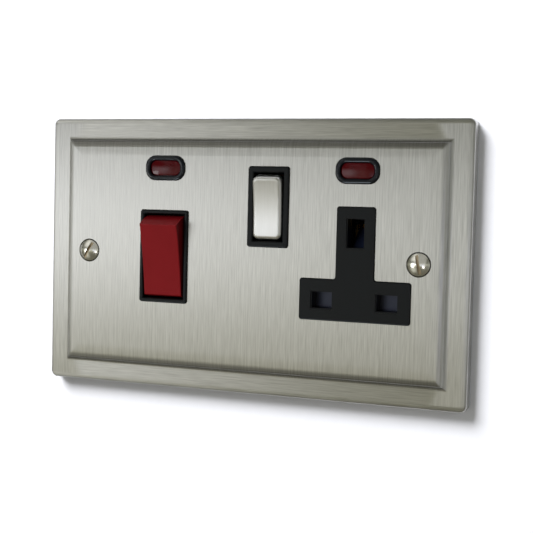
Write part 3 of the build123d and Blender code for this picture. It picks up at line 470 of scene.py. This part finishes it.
pair = bmesh.new()
for x, degrees in zip((screws_low.x + HEAD, screws_high.x - HEAD), SLOT_ANGLES):
    screw = bmesh.new()
    turned_blank(screw)
    cut_slot(screw, degrees)
    wind(screw, ridge, PITCH, thread_turns, THREAD_STEPS)
    bmesh.ops.translate(screw, vec=(x, panel_front, 0), verts=screw.verts)
    single = bpy.data.meshes.new("screw")
    screw.to_mesh(single)
    pair.from_mesh(single)
    screw.free()
    bpy.data.meshes.remove(single)
bmesh.ops.recalc_face_normals(pair, faces=pair.faces)
for face in pair.faces:
    face.smooth = True
for edge in pair.edges:
    edge.smooth = edge.calc_face_angle(math.pi) < CREASE
screws = finished_piece(pair, "threaded_fixing_screws", bright_steel, dull_steel)
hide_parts("fixing_screws")
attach(screws, "unit")
print("faces in the two threaded screws:", len(screws.data.polygons))

# %% [markdown]
# ## Winding the spring
# The shutter stands on a coil spring. A solid spring keeps its length, and the shutter would pass through
# it. Here the spring is wound again as a coil. A curve with a bevel could make it, but the thread has
# shown a shorter way: a small square, the section of the wire, is spun round the axis while it climbs.

# %% Wind the spring
WIRE, COILS, COIL_STEPS = 0.5 * MM, 6, 20
spring_low, spring_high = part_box("shutter_spring")
spring_length = spring_high.z - spring_low.z
spring_middle = (spring_low + spring_high) / 2
seat = Vector((spring_middle.x, spring_middle.y, spring_low.z))
outer = (spring_high.x - spring_low.x) / 2
inner = outer - WIRE
half = WIRE / 2

winding = bmesh.new()
wire_section = [(inner, -half), (outer, -half), (outer, half), (inner, half)]
wind(winding, wire_section, (spring_length - WIRE) / COILS, COILS, COIL_STEPS)
bmesh.ops.recalc_face_normals(winding, faces=winding.faces)
stand_up = Matrix.Rotation(math.radians(90), 3, "X")
bmesh.ops.rotate(winding, cent=(0, 0, 0), matrix=stand_up, verts=winding.verts)
bmesh.ops.translate(winding, vec=seat + Vector((0, 0, half)), verts=winding.verts)
coil = finished_piece(winding, "coiled_shutter_spring", spring_steel)
print("faces in the spring of", COILS, "coils:", len(coil.data.polygons))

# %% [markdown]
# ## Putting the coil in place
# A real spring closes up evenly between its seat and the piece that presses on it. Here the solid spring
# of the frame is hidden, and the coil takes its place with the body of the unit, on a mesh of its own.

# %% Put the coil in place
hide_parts("shutter_spring")
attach(coil, "unit")
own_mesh(coil)

# %% [markdown]
# ## A moulded plastic
# Plastic that sets in a polished tool has a soft gloss and a very slight waviness. A single colour would
# look like paint on a screen, so a broad noise moves the colour and the gloss a little, and a fine one
# gives the skin its unevenness. One function serves every plastic here.

# %% A moulded plastic
MOTTLE = 9.0


def moulded(name, dark, light, roughness, skin, depth, sheen=0.5):
    """A plastic with a mottle in colour and gloss, and a skin uneven at this size in millimetres."""
    material, tree, shader, place_on_piece = finish_named(name)
    mottle, fine = [
        add(
            tree, "ShaderNodeTexNoise", {"Vector": place_on_piece, "Scale": per_mm(size), "Detail": detail}
        ).outputs["Fac"]
        for size, detail in ((MOTTLE, 5.0), (skin, 3.0))
    ]
    tones = {0: mottle, 6: linear(dark), 7: linear(light)}
    gloss = {"Value": mottle, "To Min": roughness * 0.8, "To Max": roughness * 1.2}
    relief = {"Strength": depth, "Distance": 0.05 * MM, "Height": fine}
    plug(tree, shader, {
        "Base Color": add(tree, "ShaderNodeMix", tones, data_type="RGBA").outputs[2],
        "Roughness": add(tree, "ShaderNodeMapRange", gloss).outputs[0],
        "Normal": add(tree, "ShaderNodeBump", relief).outputs[0],
        "IOR": 1.53,
        "Specular IOR Level": sheen,
    })
    return material


black = moulded("abs_moulded_black", "06080a", "0a0d10", 0.34, skin=0.5, depth=0.08, sheen=0.22)
dress(black, "front_moulding", "socket_rocker")

# %% [markdown]
# ## Plastics of the unit
# The lamp rims are more polished than the black front, and the cooker rocker is red, so that it is found
# in a hurry. The shutter is a tough dark plastic, and the pegs that slide on metal are acetal, which is
# ivory when it isn't dyed. The housing behind is a pressed thermoset, duller and faintly mottled.

# %% Plastics of the unit
polished_black = moulded("abs_polished_black", "07090e", "0c1016", 0.2, skin=0.8, depth=0.04, sheen=0.3)
red = moulded("abs_moulded_red", "6c0f14", "78131a", 0.36, skin=0.6, depth=0.06, sheen=0.16)
slate = moulded("polycarbonate_moulded_slate", "141929", "1b2134", 0.35, skin=0.4, depth=0.1)
ivory = moulded("acetal_moulded_ivory", "cfcabb", "dedacd", 0.4, skin=0.5, depth=0.1)
charcoal = moulded("thermoset_pressed_charcoal", "2b2c2e", "38393b", 0.5, skin=0.35, depth=0.25)
dress(polished_black, "cooker_lamp_bezel", "socket_lamp_bezel")
dress(red, "cooker_rocker")
dress(slate, "shutter")
dress(ivory, "cooker_plunger_line", "cooker_plunger_neutral", "socket_plunger")
dress(charcoal, "rear_housing")

# %% [markdown]
# ## Clear red lens and lamp glass
# The lamp windows are clear red acrylic over a small neon lamp. Unlit, they look deep red, with a sharp
# highlight on the rounded face. Full transmission would show only the dark behind them, so most of the
# light is turned back by their colour. The lamps are drawn glass, and almost all light goes through.

# %% Lens and glass
TINT_DRIFT = 4.0


def clear(name, dark, light, roughness, ior, through, sheen=0.5):
    """A clear material whose tint drifts slightly."""
    material, tree, shader, place_on_piece = finish_named(name)
    drift = add(
        tree, "ShaderNodeTexNoise", {"Vector": place_on_piece, "Scale": per_mm(TINT_DRIFT), "Detail": 2.0}
    ).outputs["Fac"]
    tint = {0: drift, 6: linear(dark), 7: linear(light)}
    plug(tree, shader, {
        "Base Color": add(tree, "ShaderNodeMix", tint, data_type="RGBA").outputs[2],
        "Roughness": roughness,
        "IOR": ior,
        "Specular IOR Level": sheen,
        "Transmission Weight": through,
    })
    return material


acrylic = clear("acrylic_moulded_red", "380207", "4e0309", 0.06, ior=1.49, through=0.25, sheen=0.12)
glass = clear("glass_drawn_lamp", "e6d8c8", "f2e8dc", 0.03, ior=1.51, through=0.9)
dress(acrylic, "cooker_lamp_lens", "socket_lamp_lens")
dress(glass, "cooker_lamp", "socket_lamp")

# %% [markdown]
# ## White paint on plaster
# The wall is matt white paint, which scatters light and has no highlight. It must not hide the works when
# the unit is looked at from the back, so its back faces are clear.

# %% Wall paint
STIPPLE = 3.0


def wall_paint():
    """Matt white with a faint unevenness, clear from behind."""
    material, tree, shader, place_on_piece = finish_named("plaster_painted_white")
    fine = add(
        tree, "ShaderNodeTexNoise", {"Vector": place_on_piece, "Scale": per_mm(STIPPLE), "Detail": 4.0}
    ).outputs["Fac"]
    whites = {0: fine, 6: linear("cccdd3"), 7: linear("d0d1d7")}
    colour = add(tree, "ShaderNodeMix", whites, data_type="RGBA").outputs[2]
    plug(tree, shader, {"Base Color": colour, "Roughness": 0.9, "Specular IOR Level": 0.0})
    behind = add(tree, "ShaderNodeNewGeometry").outputs["Backfacing"]
    clear_back = add(tree, "ShaderNodeBsdfTransparent").outputs[0]
    mixed = add(tree, "ShaderNodeMixShader", {0: behind, 1: shader.outputs[0], 2: clear_back}).outputs[0]
    plug(tree, tree.nodes["Material Output"], {"Surface": mixed})
    return material


white_paint = wall_paint()
print("nodes in the wall paint:", len(white_paint.node_tree.nodes))

# %% [markdown]
# ## The wall
# The unit hangs on a large sheet just behind the plate's rim, with an opening for the works. Four strips
# could frame the opening. One inset of a single face does it at once, and the face in the middle is then
# taken out. The sheet is scenery, not part of the unit.

# %% Wall
WALL, BEHIND_RIM = 6.0, 0.3 * MM
OPENING = Vector((113.0, 69.0)) * MM
sheet = bmesh.new()
bmesh.ops.create_grid(sheet, x_segments=1, y_segments=1, size=WALL / 2)
bmesh.ops.scale(sheet, vec=(1.0, 1.0 - (OPENING.x - OPENING.y) / WALL, 1.0), verts=sheet.verts)
bmesh.ops.inset_region(
    sheet, faces=sheet.faces[:], use_boundary=True, use_even_offset=True, thickness=(WALL - OPENING.x) / 2
)
middle = min(sheet.faces, key=lambda face: face.calc_area())
bmesh.ops.delete(sheet, geom=[middle], context="FACES_ONLY")
bmesh.ops.rotate(sheet, cent=(0, 0, 0), matrix=stand_up, verts=sheet.verts)
bmesh.ops.translate(sheet, vec=(0, BEHIND_RIM, 0), verts=sheet.verts)
wall = finished_piece(sheet, "wall", white_paint)
faces = wall.data.polygons
print("wall faces", [round(part, 2) for part in faces[0].normal], "in", len(faces), "pieces")

# %% [markdown]
# ## A lamp for chosen pieces
# A lamp that suits a white wall is too strong for steel, and one that suits steel leaves gloss black
# without a highlight. Photographers hang flags and cards between them. Here light linking does that: each
# lamp lights the chosen pieces alone, or all but them. The first one hangs up to the left and throws the
# shadow on the wall, to the right and below. The second opens that shadow, and the third lights the unit
# from the front. All three are kept out of reflections, so that no square shows.

# %% A lamp for chosen pieces
def soft_lamp(name, centre, size, power, state, chosen, shows=False, colour=(1, 1, 1)):
    """A square lamp that looks at the plate and lights the chosen pieces alone, or all but them."""
    light = bpy.data.lights.new(name, "AREA")
    light.size = size
    light.energy = power
    light.color = colour
    lamp = bpy.data.objects.new(name, light)
    lamp.location = centre
    lamp.rotation_euler = (-Vector(centre)).to_track_quat("-Z", "Y").to_euler()
    lamp.visible_glossy = shows
    bpy.context.scene.collection.objects.link(lamp)
    lit = bpy.data.collections.new(name + "_lights")
    for piece in chosen:
        lit.objects.link(piece)
    for member in lit.collection_objects:
        member.light_linking.link_state = state
    lamp.light_linking.receiver_collection = lit


soft_lamp("wall_softbox", (-0.93, -1.2, 1.42), 1.1, 114.0, "INCLUDE", [wall])
soft_lamp("wall_fill", (1.3, -1.3, 0.3), 0.9, 6.0, "INCLUDE", [wall])
soft_lamp("front_softbox", (-0.55, -1.7, 0.05), 0.8, 24.0, "EXCLUDE", [wall])

# %% [markdown]
# ## Glints
# What is left is sparkle, from lamps that do show in reflections. The screws and the cap get a soft one
# each. Two small ones give points of light on the screws, the lenses and their rims, and a cool one from
# below picks out the rims and the ledges of the black moulding.

# %% Glints
COOL, COOLER = (0.93, 0.97, 1.1), (0.8, 0.92, 1.0)
cap = nodes["socket_rocker_cap"]
rims = [nodes[name] for name in ("cooker_lamp_bezel", "socket_lamp_bezel")]
glossy = [screws, nodes["cooker_lamp_lens"], nodes["socket_lamp_lens"], *rims]
ledges = [nodes["front_moulding"], *rims]
soft_lamp("screw_softbox", (0.0, -1.6, 0.9), 2.5, 6.0, "INCLUDE", [screws], shows=True)
soft_lamp("cap_softbox", (-0.73, -1.27, 0.0), 0.6, 0.64, "INCLUDE", [cap], shows=True, colour=COOL)
soft_lamp("left_glint", (-1.05, -1.05, -0.2), 0.35, 2.5, "INCLUDE", glossy, shows=True)
soft_lamp("right_glint", (0.5, -1.37, -0.38), 0.25, 1.0, "INCLUDE", glossy, shows=True)
soft_lamp("low_glint", (-0.4, -0.9, -1.15), 0.6, 9.0, "INCLUDE", ledges, shows=True, colour=COOLER)
print("pieces with glints:", [piece.name for piece in glossy + ledges[:1]])

# %% [markdown]
# ## The way a ray goes
# Polished metal shows what stands round it. A photographed room could be wrapped round the scene, but a
# few soft patches that are painted by direction are enough and can be placed at will. First each ray gets
# two angles: how far it turns to the left of straight ahead, and how far it climbs.

# %% The way a ray goes
world = bpy.data.worlds.new("studio")
world.use_nodes = True
bpy.context.scene.world = world
tree = world.node_tree
direction = add(tree, "ShaderNodeTexCoord").outputs["Generated"]
split = add(tree, "ShaderNodeSeparateXYZ", {0: direction})
leftward, forward = [
    add(tree, "ShaderNodeMath", {0: split.outputs[axis], 1: -1.0}, operation="MULTIPLY").outputs[0]
    for axis in "XY"
]
turn = add(tree, "ShaderNodeMath", {0: leftward, 1: forward}, operation="ARCTAN2").outputs[0]
climb = add(tree, "ShaderNodeMath", {0: split.outputs["Z"]}, operation="ARCSINE").outputs[0]
print("nodes for the two angles:", len(tree.nodes))

# %% [markdown]
# ## The surroundings
# Above and below, the room is dim. A band at eye level is lighter. A window shines to the left, with a
# glow over it and another under it. A shelf lies below the band, a doorway stands a little to the right,
# and the far right end is pale. Each patch is a colour and its soft edges: the angle where an edge starts
# and the angle where it is full, in degrees. Patches add up.

# %% Surroundings
floor, ceiling = (climb, 2, -8), (climb, -8, 2)
patches = {
    "floor": ((0.169, 0.160, 0.122), floor),
    "ceiling": ((0.147, 0.146, 0.115), ceiling),
    "band": ((0.364, 0.369, 0.308), (turn, -70, -30), (turn, 100, 55), (climb, -9, -4), (climb, 5, 0)),
    "window": ((2.18, 2.21, 2.40), (turn, 14, 31), (turn, 62, 38), (climb, -6.6, -2.2), (climb, 4.6, 0.2)),
    "shelf": ((0.23, 0.22, 0.14), (turn, -20, 0), (turn, 60, 40), (climb, -18, -10), (climb, -4, -8)),
    "doorway": ((0.80, 0.84, 1.29), (turn, -30, -18), (turn, 4, -4), (climb, -8, -4.5), (climb, 0, -3)),
    "pale end": ((0.2, 0.21, 0.22), (turn, -200, -180), (turn, -30, -60), (climb, -40, -12), (climb, 20, 4)),
    "low glow": ((0.52, 0.52, 0.47), (turn, 18, 37), (turn, 75, 48), (climb, -50, -30), (climb, -10, -22)),
    "high glow": ((0.80, 0.79, 0.77), (turn, 20, 38), (turn, 75, 48), (climb, 8, 20), (climb, 60, 40)),
}
surroundings = (0, 0, 0, 1)
for colour, *sides in patches.values():
    amount = 1.0
    for angle, start, full in sides:
        limits = {"Value": angle, "From Min": math.radians(start), "From Max": math.radians(full)}
        soft = add(tree, "ShaderNodeMapRange", limits, interpolation_type="SMOOTHSTEP").outputs[0]
        amount = add(tree, "ShaderNodeMath", {0: amount, 1: soft}, operation="MULTIPLY").outputs[0]
    layer = {0: amount, 6: surroundings, 7: (*colour, 1)}
    surroundings = add(tree, "ShaderNodeMix", layer, data_type="RGBA", blend_type="ADD").outputs[2]
print("patches:", ", ".join(patches))

# %% [markdown]
# ## Light from behind and the open background
# From behind the wall the works are looked at on their own, so that side of the room is an even, pale
# grey. What the camera sees past the wall is plain white, as in the photograph.

# %% Background
EVEN_GREY, WHITE = (0.85, 0.85, 0.85, 1), (1, 1, 1, 1)
behind_wall = {"Value": split.outputs["Y"], "From Min": 0.1, "From Max": 0.4}
behind = add(tree, "ShaderNodeMapRange", behind_wall).outputs[0]
room = add(tree, "ShaderNodeMix", {0: behind, 6: surroundings, 7: EVEN_GREY}, data_type="RGBA").outputs[2]
seen = add(tree, "ShaderNodeLightPath").outputs["Is Camera Ray"]
shown = add(tree, "ShaderNodeMix", {0: seen, 6: room, 7: WHITE}, data_type="RGBA").outputs[2]
plug(tree, tree.nodes["Background"], {"Color": shown, "Strength": 1.0})
print("nodes in the surroundings:", len(tree.nodes))
